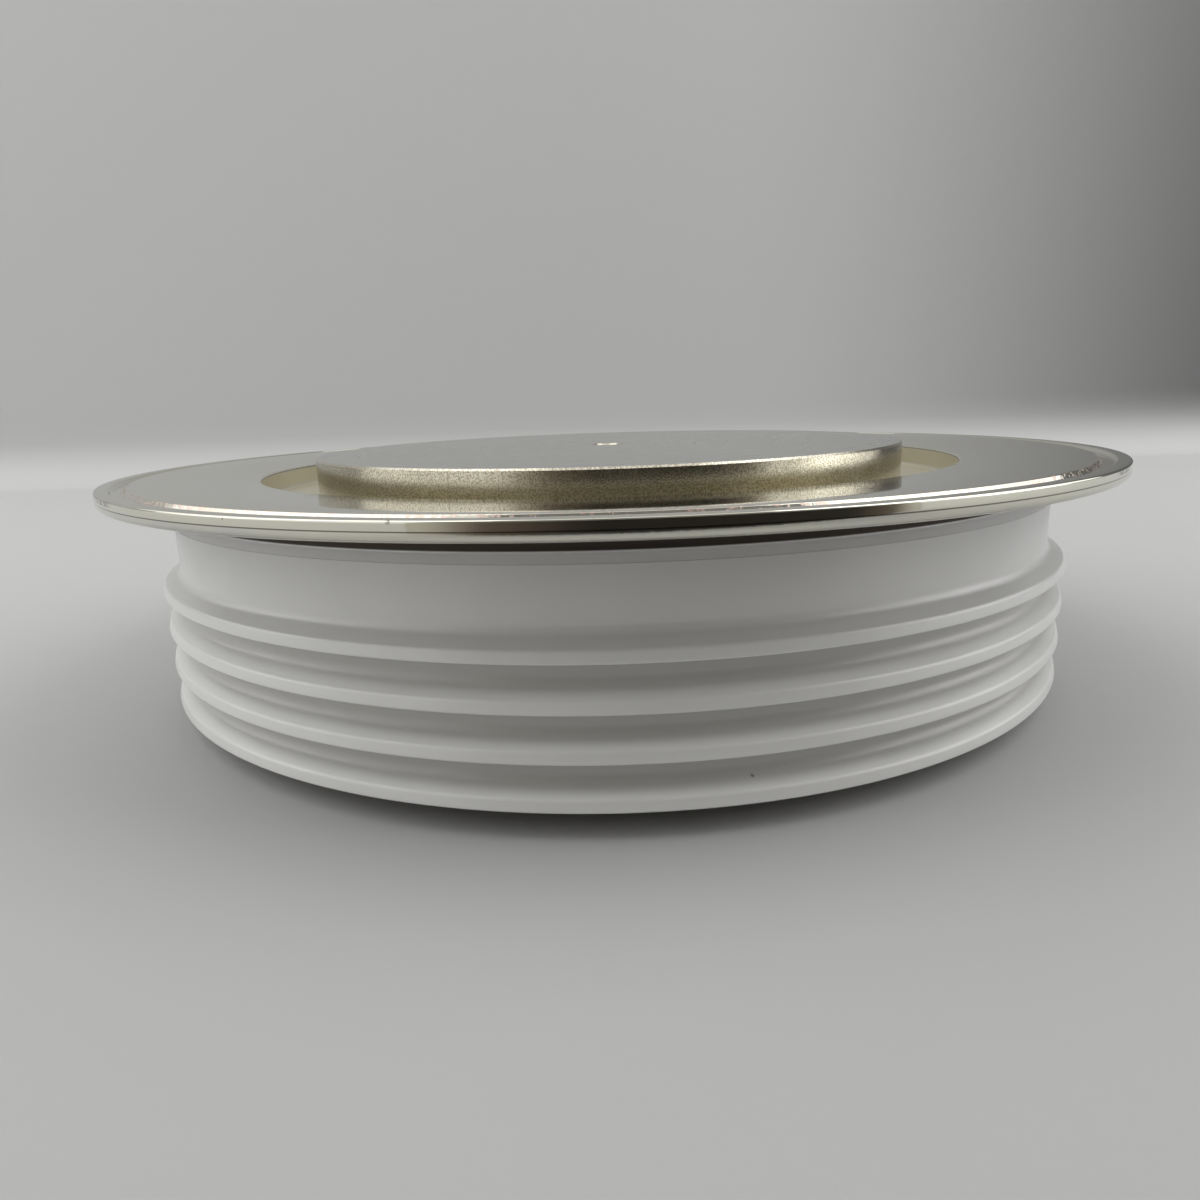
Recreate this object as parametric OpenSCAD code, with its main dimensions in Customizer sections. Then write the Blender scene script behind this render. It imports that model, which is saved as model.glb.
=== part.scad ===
// Disc thyristor: a press-pack capsule with a shedded ceramic ring between two copper poles.
// Millimetres, +Z up. The origin is the centre of the lower (anode) contact face.
// The gate tube leaves the ceramic towards +Y.

/* [Capsule] */
// Height over the two contact faces
capsule_h = 27; // [26:0.1:34]
// Diameter of the two contact poles
pole_d = 73; // [68:0.1:74]
// Diameter of the lid flange
flange_d = 117.3; // [114:0.1:134]
// Chamfer round each contact face
pole_chamfer = 0.4; // [0.2:0.1:1]
// Thickness of the flange sheets
sheet_t = 0.8; // [0.5:0.05:1]

/* [Lid] */
// Depth of the lid's rim below the upper contact face
rim_drop = 1.38; // [0.9:0.02:2]
// How far the lid dips from its rim to the edge of its groove
dish_drop = 0.6; // [0.3:0.05:1.1]
// Width of the groove round the upper pole
groove_w = 6.15; // [4.5:0.05:6.4]
// Depth of the groove below its edge
groove_depth = 2.6; // [2:0.1:3]
// Inner radius of the bends in the stamped sheets
bend_r = 0.5; // [0.25:0.05:0.7]
// Distance from the rim's edge to the middle of the grooves that the weld's dies leave
weld_groove_inset = 2.05; // [1.7:0.05:2.6]
// Width of the weld grooves
weld_groove_w = 1.6; // [1.1:0.1:2]
// Depth of the weld grooves
weld_groove_depth = 0.4; // [0.2:0.02:0.5]
// Rounding of the rim's outer edges
rim_edge_r = 0.25; // [0.05:0.05:0.35]
// Height of the weld ring's collar, from the weld to the ceramic
collar_h = 3.48; // [3:0.02:3.9]
// Radius of the bend from the collar to the rim
collar_bend_r = 1.4; // [0.6:0.1:1.6]
// How far the collar stands back from the ceramic's plain band
collar_inset = 0.3; // [0:0.05:0.6]
// Width of the collar's foot on the ceramic
collar_foot_w = 4; // [3:0.1:5]

/* [Ceramic ring] */
// Thickness of the wall at the plain band
ceramic_wall = 6.45; // [5:0.05:7.5]
// How far the sheds stand out from the plain band
shed_reach = 1.95; // [1.5:0.05:4]
// Number of sheds
shed_count = 4; // [2:1:4]
// Distance from shed to shed
shed_pitch = 3.94; // [3.4:0.02:4]
// Height of the lowest shed's lower edge above the ceramic's foot
shed_base = 0.4; // [0.35:0.05:0.9]
// Height of a shed's rim
shed_rim_h = 1.05; // [0.8:0.05:1.2]
// How far the rim leans in at its top
shed_rim_lean = 0.25; // [0.1:0.05:0.7]
// Rise of a shed's top from its rim to the wall
shed_rise = 0.9; // [0.4:0.05:1]
// Rise of a shed's underside from its lower edge to the wall
shed_undercut = 0.25; // [0.1:0.05:0.4]
// Radius of the hollow above each shed
shed_hollow_r = 1.1; // [0.6:0.05:1.4]
// Rounding of the rim's top edge
shed_top_r = 0.45; // [0.1:0.05:0.55]
// Rounding of the rim's lower edge and of the ceramic's ends
ceramic_edge_r = 0.15; // [0.05:0.05:0.2]

/* [Lower flange] */
// How far the lower pole stands out below its flange
anode_proud = 1.2; // [1.1:0.1:1.8]
// How far the lower flange stands back from the plain band
anode_flange_inset = 0.5; // [0.2:0.1:1.5]
// Radius at the middle of the sheet in the flange's convolution
convolution_r = 0.9; // [0.6:0.05:1.1]
// Width of the shoulder that carries a flange sheet on its pole
shoulder_w = 2.4; // [1.8:0.1:2.6]
// Height of that shoulder
shoulder_h = 1.5; // [1:0.1:1.8]

/* [Locating holes] */
// Diameter of the locating hole in each contact face
locating_hole_d = 3.5; // [2.5:0.1:5]
// Depth of the locating holes
locating_hole_depth = 2.4; // [1.5:0.1:2.8]
// Countersink at the mouth of the locating holes
locating_hole_chamfer = 0.3; // [0.1:0.05:0.5]

/* [Wafer stack] */
// Height of the lower pole
anode_pole_h = 7.8; // [7:0.1:8.6]
// Thickness of the silver shims
shim_t = 0.2; // [0.1:0.05:0.3]
// Thickness of the anode molybdenum disc
anode_moly_t = 2; // [1.5:0.1:2.4]
// How far the anode molybdenum disc stands out beyond the wafer
anode_moly_margin = 0.5; // [0.3:0.1:1]
// Thickness of the silicon wafer
wafer_t = 0.8; // [0.4:0.05:1]
// How far the silicon wafer stands out beyond the poles
wafer_margin = 3; // [2.5:0.1:5]
// Width of the bevel on the wafer's edge
wafer_bevel = 1.2; // [0.8:0.1:1.4]
// Thickness of the cathode molybdenum disc
cathode_moly_t = 1; // [0.8:0.1:1.4]
// Gap between the cathode molybdenum disc and the edge rubber
cathode_moly_gap = 1.8; // [0.3:0.1:3]
// Diameter of the centre hole in the cathode disc and its shim
gate_window_d = 8; // [7.4:0.1:9]
// How far the silver shims stand back from the poles' edges
shim_inset = 1; // [0.5:0.1:4]
// Reach of the edge rubber inwards from the bevel's top edge
rubber_reach = 1; // [0.5:0.1:1.2]
// Height of the edge rubber above the wafer
rubber_h = 0.8; // [0.4:0.05:1]
// Wall of the locating ring beside the wafer
ring_wall = 4.9; // [3.5:0.1:6]

/* [Gate] */
// Diameter of the gate bore in the upper pole
gate_bore_d = 10; // [9.4:0.1:12]
// Depth of the gate bore
gate_bore_depth = 8; // [7.2:0.1:8.6]
// Wall of the gate cup
cup_wall = 1; // [0.7:0.05:1.1]
// Diameter of the gate pin's tip
pin_tip_d = 2.4; // [1.6:0.1:3]
// Height of the gate pin's body
pin_body_h = 2; // [1.8:0.1:2.6]
// Height of the spigot that centres the spring
pin_spigot_h = 1.2; // [0.6:0.1:1.6]
// Height of the lead's middle above the upper pole's lower face
lead_rise = 1.9; // [1.8:0.1:2.4]
// Diameter of the gate lead
lead_d = 1; // [0.6:0.05:1.1]
// Wall of the lead's sleeve
sleeve_wall = 0.4; // [0.25:0.05:0.45]
// Bend radius at the middle of the lead
lead_bend_r = 1.4; // [1.2:0.05:1.5]
// Straight length of the lead between its last bend and the tube
lead_straight = 0.4; // [0.2:0.1:0.6]
// Depth of the gate tube's middle below the ceramic's top
gate_drop = 2.55; // [2:0.05:2.8]
// Diameter of the gate tube in the ceramic
tube_d = 3; // [2.6:0.1:3.4]
// Diameter of the gate tube's outer end, which takes the gate wire
stub_d = 2.4; // [2:0.1:3.2]
// How far the gate tube stands out of the plain band
tube_out = 5; // [3:0.1:7]
// Diameter of the gate tube's collar, which seats on the plain band
tube_collar_d = 4.4; // [3.8:0.1:4.8]
// Thickness of that collar
tube_collar_t = 0.4; // [0.3:0.05:0.8]
// Depth of the flat seat for the collar in the plain band
tube_seat = 0.1; // [0.06:0.02:0.3]
// How far the gate tube stands into the capsule
tube_in = 0.9; // [0.5:0.1:1]
// Rounding of the gate tube's outer end
tube_edge_r = 0.3; // [0.1:0.05:0.5]
// Wire diameter of the gate spring
spring_wire_d = 0.6; // [0.4:0.05:0.7]
// Gap between the gate spring and the gate cup
spring_gap = 0.6; // [0.1:0.05:1]
// Distance from turn to turn of the gate spring
spring_pitch = 1.05; // [0.8:0.05:1.4]

/* [Clearances] */
// Braze gap round poles and tube
braze_gap = 0.05; // [0.02:0.01:0.1]
// Clearance of inner pieces that are placed by hand
loose_fit = 0.3; // [0.2:0.05:0.35]
// Clearance of the gate's sliding pieces
slide_fit = 0.1; // [0.05:0.01:0.15]

/* [Hidden] */
$fn = 96;
arc_steps = 8;
overlap = 1;

pole_r = pole_d / 2;
flange_r = flange_d / 2;
shoulder_r = pole_r + shoulder_w;

// Radii from the pole outwards
wafer_r = pole_r + wafer_margin;
bevel_top_r = wafer_r - wafer_bevel;
rubber_bore_r = bevel_top_r - rubber_reach;
cathode_moly_r = rubber_bore_r - cathode_moly_gap;
shim_r = pole_r - shim_inset;
anode_moly_r = wafer_r + anode_moly_margin;
ring_seat_r = anode_moly_r + loose_fit;
ring_r = ring_seat_r + ring_wall;
ceramic_bore_r = ring_r + loose_fit;
band_r = ceramic_bore_r + ceramic_wall;
shed_r = band_r + shed_reach;
collar_r = band_r - collar_inset;
// Share of their size that the weld grooves keep on a narrow rim
weld_groove_fit = min(1, (flange_r - collar_r) / 5);

// Heights from the lower contact face upwards
ceramic_z = anode_proud + sheet_t;
shim_z = anode_pole_h;
moly_z = shim_z + shim_t;
wafer_z = moly_z + anode_moly_t;
gate_face_z = wafer_z + wafer_t;
upper_shim_z = gate_face_z + cathode_moly_t;
upper_pole_z = upper_shim_z + shim_t;

// Heights from the upper contact face downwards
rim_z = capsule_h - rim_drop;
weld_z = rim_z - sheet_t;
ceramic_top_z = weld_z - collar_h;
groove_edge_z = rim_z - dish_drop;
groove_floor_z = groove_edge_z - groove_depth;
upper_shoulder_z = groove_floor_z - sheet_t;

// Gate
gate_z = ceramic_top_z - gate_drop;
gate_bore_r = gate_bore_d / 2;
gate_bore_z = upper_pole_z + gate_bore_depth;
cup_r = gate_bore_r - slide_fit;
cup_bore_r = cup_r - cup_wall;
pin_body_r = cup_bore_r - slide_fit;
lead_z = upper_pole_z + lead_rise;
pin_body_z = lead_z - pin_body_h / 2;
spring_z = lead_z + pin_body_h / 2;
spring_top_z = gate_bore_z - cup_wall;
spring_r = cup_bore_r - spring_gap - spring_wire_d / 2;
lead_r = lead_d / 2;
lead_hole_r = lead_r + slide_fit / 2;
lead_start_y = pin_body_r / 2;
sleeve_r = lead_hole_r + sleeve_wall;
slot_w = 2 * (sleeve_r + loose_fit);
tube_r = tube_d / 2;
tube_end_y = band_r + tube_out;
tube_mouth_y = ceramic_bore_r - tube_in;
tube_collar_r = tube_collar_d / 2;
tube_seat_y = band_r - tube_seat;
lead_drop_y = tube_mouth_y - lead_straight - lead_bend_r;

// Points of an arc from angle a to angle b
function arc(centre, r, a, b) = [
    for (i = [0 : arc_steps])
        let (t = a + (b - a) * i / arc_steps)
        centre + r * [cos(t), sin(t)]
];

// Outline whose corners are rounded; each corner is [x, y, radius]
function rounded(corners) = [
    for (i = [0 : len(corners) - 1])
        each round_corner(
            corners[i],
            corners[(i + len(corners) - 1) % len(corners)],
            corners[(i + 1) % len(corners)]
        )
];

function round_corner(corner, before, after) =
    let (
        p = [corner.x, corner.y],
        to_before = unit([before.x, before.y] - p),
        to_after = unit([after.x, after.y] - p),
        half = acos(to_before * to_after) / 2,
        centre = p + unit(to_before + to_after) * corner.z / sin(half),
        first = p + to_before * corner.z / tan(half) - centre,
        last = p + to_after * corner.z / tan(half) - centre,
        start = atan2(first.y, first.x),
        turn = atan2(last.y, last.x) - start,
        sweep = turn > 180 ? turn - 360 : turn < -180 ? turn + 360 : turn
    )
    corner.z == 0 ? [p] : arc(centre, corner.z, start, start + sweep);

function unit(v) = v / norm(v);

// A profile turned round the capsule's axis
module turned(corners) {
    rotate_extrude() polygon(rounded(corners));
}

// A flat ring or disc
module disc(r, z, h, hole_r = 0) {
    translate([0, 0, z]) difference() {
        cylinder(r = r, h = h);
        if (hole_r > 0) translate([0, 0, -overlap]) cylinder(r = hole_r, h = h + 2 * overlap);
    }
}

// A round bar along Y, either way from its start
module bar_y(r, start_y, end_y, z) {
    translate([0, start_y, z])
        rotate([end_y > start_y ? -90 : 90, 0, 0])
        cylinder(r = r, h = abs(end_y - start_y));
}

// The lead's route: along the pole's slot, up beside the pole and out through the tube
module lead_route(r, start_y, end_y) {
    bar_y(r, lead_drop_y - lead_bend_r, start_y, lead_z);
    translate([0, lead_drop_y - lead_bend_r, lead_z + lead_bend_r]) rotate([0, 90, 0]) lead_bend(r);
    translate([0, lead_drop_y, lead_z + lead_bend_r])
        cylinder(r = r, h = gate_z - lead_z - 2 * lead_bend_r);
    translate([0, lead_drop_y + lead_bend_r, gate_z - lead_bend_r]) rotate([90, 0, -90]) lead_bend(r);
    bar_y(r, lead_drop_y + lead_bend_r, end_y, gate_z);
}

// A quarter turn of the lead
module lead_bend(r) {
    rotate_extrude(angle = 90) translate([lead_bend_r, 0]) circle(r = r);
}

// White insulator: plain band above, sheds below
module ceramic_ring() {
    color("whitesmoke") difference() {
        turned(concat(
            [
                [ceramic_bore_r, ceramic_top_z, ceramic_edge_r],
                [ceramic_bore_r, ceramic_z, ceramic_edge_r],
                [band_r, ceramic_z, ceramic_edge_r],
            ],
            [for (i = [0 : shed_count - 1]) each shed(ceramic_z + shed_base + i * shed_pitch)],
            [[band_r, ceramic_top_z, ceramic_edge_r]]
        ));
        bar_y(tube_r + braze_gap, ceramic_bore_r - overlap, shed_r + overlap, gate_z);
        bar_y(tube_collar_r + braze_gap, tube_seat_y, shed_r + overlap, gate_z);
    }
}

// One shed's corners, from its underside up to the hollow above it
function shed(z) = [
    [band_r, z + shed_undercut, ceramic_edge_r],
    [shed_r, z, ceramic_edge_r],
    [shed_r - shed_rim_lean, z + shed_rim_h, shed_top_r],
    [band_r, z + shed_rim_h + shed_rise, shed_hollow_r],
];

// Lower sheet of the rim, with a collar and a foot on the ceramic
module weld_ring() {
    under_z = weld_z - sheet_t;
    inner_bend_r = min(collar_bend_r, (flange_r - collar_r) / 5);
    groove = weld_groove(under_z, under_z + weld_groove_fit * weld_groove_depth);
    color("silver") turned(concat(
        [
            [collar_r - collar_foot_w, ceramic_top_z, 0],
            [collar_r, ceramic_top_z, ceramic_edge_r],
            [collar_r, under_z, inner_bend_r],
        ],
        groove,
        [
            [flange_r, under_z, rim_edge_r],
            [flange_r, weld_z, 0],
            [collar_r - sheet_t, weld_z, inner_bend_r + sheet_t],
            [collar_r - sheet_t, ceramic_top_z + sheet_t, 0],
            [collar_r - collar_foot_w, ceramic_top_z + sheet_t, 0],
        ]
    ));
}

// Corners of a weld groove in a rim's face, outwards, between the face's height and the groove's floor
function weld_groove(face_z, floor_z) = let (
    middle_r = flange_r - weld_groove_fit * weld_groove_inset,
    half_w = weld_groove_fit * weld_groove_w / 2,
    edge = abs(floor_z - face_z) / 3
) [
    [middle_r - half_w, face_z, edge],
    [middle_r - 2 * half_w / 3, floor_z, edge],
    [middle_r + 2 * half_w / 3, floor_z, edge],
    [middle_r + half_w, face_z, edge],
];

// Stamped lid: groove round the pole, dished annulus and welded rim
module cathode_flange() {
    outer_bend_r = bend_r + sheet_t;
    edge_r = pole_r + groove_w;
    groove = weld_groove(rim_z, rim_z - weld_groove_fit * weld_groove_depth);
    color("silver") turned(concat(
        [
            [pole_r + braze_gap, upper_shoulder_z, 0],
            [edge_r + sheet_t, upper_shoulder_z, outer_bend_r],
            [edge_r + sheet_t, groove_edge_z - sheet_t, bend_r],
            [collar_r, weld_z, 0],
            [flange_r, weld_z, 0],
            [flange_r, rim_z, rim_edge_r],
        ],
        [for (index = [3:-1:0]) groove[index]],
        [
            [collar_r, rim_z, 0],
            [edge_r, groove_edge_z, outer_bend_r],
            [edge_r, groove_floor_z, bend_r],
            [pole_r + braze_gap, groove_floor_z, 0],
        ]
    ));
}

// Upper pole: contact face on top, gate bore and lead slot below
module cathode_pole() {
    color("gainsboro") difference() {
        turned([
            [0, upper_pole_z, 0],
            [pole_r - pole_chamfer, upper_pole_z, 0],
            [pole_r, upper_pole_z + pole_chamfer, 0],
            [pole_r, upper_shoulder_z - shoulder_h, 0],
            [shoulder_r, upper_shoulder_z - shoulder_h, 0],
            [shoulder_r, upper_shoulder_z, 0],
            [pole_r, upper_shoulder_z, 0],
            [pole_r, capsule_h - pole_chamfer, 0],
            [pole_r - pole_chamfer, capsule_h, 0],
            [0, capsule_h, 0],
        ]);
        translate([0, 0, capsule_h]) mirror([0, 0, 1]) locating_hole();
        translate([0, 0, upper_pole_z - overlap]) cylinder(r = gate_bore_r, h = gate_bore_depth + overlap);
        translate([-slot_w / 2, 0, upper_pole_z - overlap])
            cube([slot_w, pole_r + overlap, lead_rise + slot_w / 2 + overlap]);
    }
}

// Lower pole, with the contact face that the capsule stands on
module anode_pole() {
    color("gainsboro") difference() {
        turned([
            [0, 0, 0],
            [pole_r - pole_chamfer, 0, 0],
            [pole_r, pole_chamfer, 0],
            [pole_r, ceramic_z, 0],
            [shoulder_r, ceramic_z, 0],
            [shoulder_r, ceramic_z + shoulder_h, 0],
            [pole_r, ceramic_z + shoulder_h, 0],
            [pole_r, anode_pole_h - pole_chamfer, 0],
            [pole_r - pole_chamfer, anode_pole_h, 0],
            [0, anode_pole_h, 0],
        ]);
        locating_hole();
    }
}

// Hole in a contact face for a locating pin, cut upwards from z = 0
module locating_hole() {
    hole_r = locating_hole_d / 2;
    translate([0, 0, -overlap]) cylinder(r = hole_r, h = locating_hole_depth + overlap);
    translate([0, 0, -overlap]) cylinder(
        r1 = hole_r + locating_hole_chamfer + overlap,
        r2 = hole_r,
        h = locating_hole_chamfer + overlap
    );
}

// Sheet below the ceramic, with one convolution
module anode_flange() {
    middle_r = (shoulder_r + ceramic_bore_r) / 2;
    inner_r = convolution_r - sheet_t / 2;
    outer_r = convolution_r + sheet_t / 2;
    color("silver") rotate_extrude() difference() {
        union() {
            translate([pole_r + braze_gap, anode_proud])
                square([band_r - anode_flange_inset - pole_r - braze_gap, sheet_t]);
            translate([middle_r, ceramic_z]) circle(r = outer_r);
        }
        translate([middle_r, ceramic_z]) circle(r = inner_r);
        translate([middle_r - outer_r - overlap, ceramic_z])
            square([2 * (outer_r + overlap), outer_r + overlap]);
    }
}

// Gate terminal: a tube through the plain band, with a collar on it and a stub for the gate wire
module gate_tube() {
    color("silver") translate([0, 0, gate_z]) rotate([-90, 0, 0]) turned([
        [lead_hole_r, tube_mouth_y, 0],
        [tube_r, tube_mouth_y, 0],
        [tube_r, tube_seat_y, 0],
        [tube_collar_r, tube_seat_y, 0],
        [tube_collar_r, tube_seat_y + tube_collar_t, 0],
        [stub_d / 2, tube_seat_y + tube_collar_t, 0],
        [stub_d / 2, tube_end_y, tube_edge_r],
        [lead_hole_r, tube_end_y, 0],
    ]);
}

// Thyristor wafer with a bevelled edge
module silicon_wafer() {
    color("dimgray") turned([
        [0, wafer_z, 0],
        [wafer_r, wafer_z, 0],
        [bevel_top_r, gate_face_z, 0],
        [0, gate_face_z, 0],
    ]);
}

// Silicone ring cast on the bevel
module edge_rubber() {
    color("white") turned([
        [rubber_bore_r, gate_face_z, 0],
        [bevel_top_r, gate_face_z, 0],
        [wafer_r, wafer_z, 0],
        [anode_moly_r, wafer_z, 0],
        [anode_moly_r, gate_face_z, rubber_h / 2],
        [bevel_top_r + rubber_reach / 2, gate_face_z + rubber_h, rubber_h / 3],
        [rubber_bore_r, gate_face_z + rubber_h / 2, rubber_h / 4],
    ]);
}

// Thick disc that carries the wafer
module anode_molybdenum_disc() {
    color("darkgray") disc(anode_moly_r, moly_z, anode_moly_t);
}

// Thin disc between the wafer and the upper pole
module cathode_molybdenum_disc() {
    color("darkgray") disc(cathode_moly_r, gate_face_z, cathode_moly_t, gate_window_d / 2);
}

// Foil on the lower pole
module anode_silver_shim() {
    color("lightgray") disc(shim_r, shim_z, shim_t);
}

// Foil under the upper pole
module cathode_silver_shim() {
    color("lightgray") disc(shim_r, upper_shim_z, shim_t, gate_window_d / 2);
}

// Ring that stands on the lower flange and centres the wafer in the ceramic
module locating_ring() {
    seat_z = moly_z - loose_fit;
    bore_r = shoulder_r + loose_fit;
    color("ivory") turned([
        [bore_r, ceramic_z, 0],
        [ring_r, ceramic_z, 0],
        [ring_r, gate_face_z + rubber_h, 0],
        [ring_seat_r, gate_face_z + rubber_h, 0],
        [ring_seat_r, seat_z, 0],
        [bore_r, seat_z, 0],
    ]);
}

// Insulating cup that fills the gate bore, notched for the lead
module gate_cup() {
    color("ivory") difference() {
        disc(cup_r, upper_pole_z, gate_bore_depth);
        translate([0, 0, upper_pole_z - overlap])
            cylinder(r = cup_bore_r, h = gate_bore_depth - cup_wall + overlap);
        translate([-slot_w / 2, 0, upper_pole_z - overlap])
            cube([slot_w, cup_r + overlap, lead_rise + slot_w / 2 + overlap]);
    }
}

// Bush that stands on the wafer inside the cathode disc's hole
module gate_guide() {
    guide_r = gate_window_d / 2 - slide_fit;
    guide_h = upper_pole_z - gate_face_z;
    color("ivory") disc(guide_r, gate_face_z, guide_h, pin_tip_d / 2 + slide_fit);
}

// Gate contact: tip on the wafer, body drilled for the lead, spigot inside the spring
module gate_pin() {
    spigot_r = spring_r - spring_wire_d / 2 - slide_fit;
    color("gold") difference() {
        turned([
            [0, gate_face_z, 0],
            [pin_tip_d / 2, gate_face_z, pin_tip_d / 6],
            [pin_tip_d / 2, pin_body_z, 0],
            [pin_body_r, pin_body_z, 0],
            [pin_body_r, spring_z, 0],
            [spigot_r, spring_z, 0],
            [spigot_r, spring_z + pin_spigot_h, 0],
            [0, spring_z + pin_spigot_h, 0],
        ]);
        bar_y(lead_hole_r, lead_start_y, pin_body_r + overlap, lead_z);
    }
}

// Compression spring between the pin's body and the cup's ceiling
module gate_spring() {
    wire_r = spring_wire_d / 2;
    ring_sides = 8;
    turn_steps = 24;
    closed = spring_wire_d + slide_fit;
    active = (spring_top_z - spring_z - spring_wire_d - 2 * closed) / spring_pitch;
    turns = active + 2;
    steps = ceil(turns * turn_steps);
    // Height along the wire: one closed turn at each end, an even pitch between
    function wire_z(turn) =
        spring_z + wire_r
        + closed * (min(turn, 1) + max(turn - turns + 1, 0))
        + spring_pitch * max(min(turn - 1, active), 0);
    rings = [
        for (i = [0 : steps])
            let (turn = turns * i / steps, a = 360 * turn)
            [
                for (k = [0 : ring_sides - 1])
                    let (b = 360 * k / ring_sides, r = spring_r + wire_r * cos(b))
                    [r * cos(a), r * sin(a), wire_z(turn) + wire_r * sin(b)]
            ]
    ];
    color("silver") polyhedron(
        points = [for (ring = rings) each ring],
        faces = concat(
            [[for (k = [0 : ring_sides - 1]) k]],
            [
                for (i = [0 : steps - 1], k = [0 : ring_sides - 1])
                    let (a = i * ring_sides, n = (k + 1) % ring_sides)
                    [a + k, a + ring_sides + k, a + ring_sides + n, a + n]
            ],
            [[for (k = [ring_sides - 1 : -1 : 0]) steps * ring_sides + k]]
        )
    );
}

// Wire from the gate pin to the outer end of the gate tube
module gate_lead() {
    color("goldenrod") lead_route(lead_r, lead_start_y, tube_end_y);
}

// Sleeve on the lead between the gate cup and the tube
module lead_sleeve() {
    color("ivory") difference() {
        lead_route(sleeve_r, cup_bore_r, tube_mouth_y);
        lead_route(lead_hole_r, cup_bore_r - overlap, tube_mouth_y + overlap);
    }
}

ceramic_ring();
weld_ring();
cathode_flange();
cathode_pole();
anode_pole();
anode_flange();
gate_tube();
silicon_wafer();
edge_rubber();
anode_molybdenum_disc();
cathode_molybdenum_disc();
anode_silver_shim();
cathode_silver_shim();
locating_ring();
gate_cup();
gate_guide();
gate_pin();
gate_spring();
gate_lead();
lead_sleeve();
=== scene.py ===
"""Looks of a disc thyristor: a press-pack capsule with a shedded ceramic ring between two poles."""

import math

import bmesh
import bpy
from mathutils import Matrix, Vector


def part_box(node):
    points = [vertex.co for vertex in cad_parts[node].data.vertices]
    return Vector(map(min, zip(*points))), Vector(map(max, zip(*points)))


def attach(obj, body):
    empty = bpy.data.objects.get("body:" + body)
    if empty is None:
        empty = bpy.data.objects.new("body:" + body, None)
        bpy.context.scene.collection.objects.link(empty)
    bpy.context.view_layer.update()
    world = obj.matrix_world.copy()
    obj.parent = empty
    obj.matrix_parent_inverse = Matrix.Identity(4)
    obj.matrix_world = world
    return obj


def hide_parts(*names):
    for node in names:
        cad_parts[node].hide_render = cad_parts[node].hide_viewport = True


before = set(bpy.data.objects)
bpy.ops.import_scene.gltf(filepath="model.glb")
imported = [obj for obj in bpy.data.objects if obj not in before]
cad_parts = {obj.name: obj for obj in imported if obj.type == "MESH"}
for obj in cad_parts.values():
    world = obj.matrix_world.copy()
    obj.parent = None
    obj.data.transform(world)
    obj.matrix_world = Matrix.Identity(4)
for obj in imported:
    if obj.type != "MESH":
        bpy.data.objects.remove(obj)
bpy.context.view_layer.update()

bl_info = {
    "name": "Disc Thyristor",
    "version": (1, 0, 0),
    "blender": (4, 5, 0),
    "location": "View3D > Sidebar > Capsule",
    "description": "Dresses the solid model of a press-pack disc thyristor and sets its stage",
    "category": "Add Mesh",
}

MM = 0.001
BODY = "root"
ARC_STEPS = 8
LID_SEGMENTS = 720
RING_SEGMENTS = 360
HOLE_SEGMENTS = 64
CREASE = math.radians(35)
MERGE = 0.001 * MM
FACE_ON = 0.9
SEAM_LINE = (0.07 * MM, 0.03 * MM)

# Stage places, in metres
LEFT_LAMP_PLACE = (-0.45, 0.12, 0.5)
RIGHT_LAMP_PLACE = (0.5, 0.12, 0.4)
LAMP_SIZE = 0.8
CARD_Y = -0.16
CARD_LEFT = -0.1
CARD_RIGHT = 0.225
CARD_TOP = 0.4
CARD_MIDDLE = 0.06
CARD_SIDE_BLEND = (0.06, 0.13)
CARD_END_BLEND = (0.11, 0.155)
CARD_TOP_BLEND = (0.056, 0.085)
WALL_BLEND = (0.0, 0.03)
WALL_SHADE_BLEND = (0.05, 0.34)
BACKDROP_HALF_WIDTH = 1.5
BACKDROP_FRONT = -1.2
BACKDROP_TOP = 1.2
COVE_RADIUS = 0.02
COVE_STEPS = 12


def top(node):
    """Highest point of a solid."""
    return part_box(node)[1].z


def foot(node):
    """Lowest point of a solid."""
    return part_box(node)[0].z


def reach(node):
    """How far a turned solid reaches from the capsule's axis."""
    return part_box(node)[1].x


# Properties

def from_frame(name, description, metres):
    """A length whose default comes from the solid model."""
    return bpy.props.FloatProperty(
        name=name, description=description, default=metres, min=0.0, precision=5, unit="LENGTH"
    )


def length(name, description, millimetres):
    """A length whose default is written in millimetres."""
    return from_frame(name, description, millimetres * MM)


def tilt(name, description, degrees):
    """A camera angle whose default is written in degrees."""
    return bpy.props.FloatProperty(
        name=name, description=description, default=math.radians(degrees), subtype="ANGLE"
    )


def watts(name, description, default):
    """Power of a lamp."""
    return bpy.props.FloatProperty(
        name=name, description=description, default=default, min=0.0, unit="POWER"
    )


def colour(name, description, default):
    """A surface colour."""
    return bpy.props.FloatVectorProperty(
        name=name, description=description, default=default, min=0.0, max=1.0, size=3, subtype="COLOR"
    )


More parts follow.
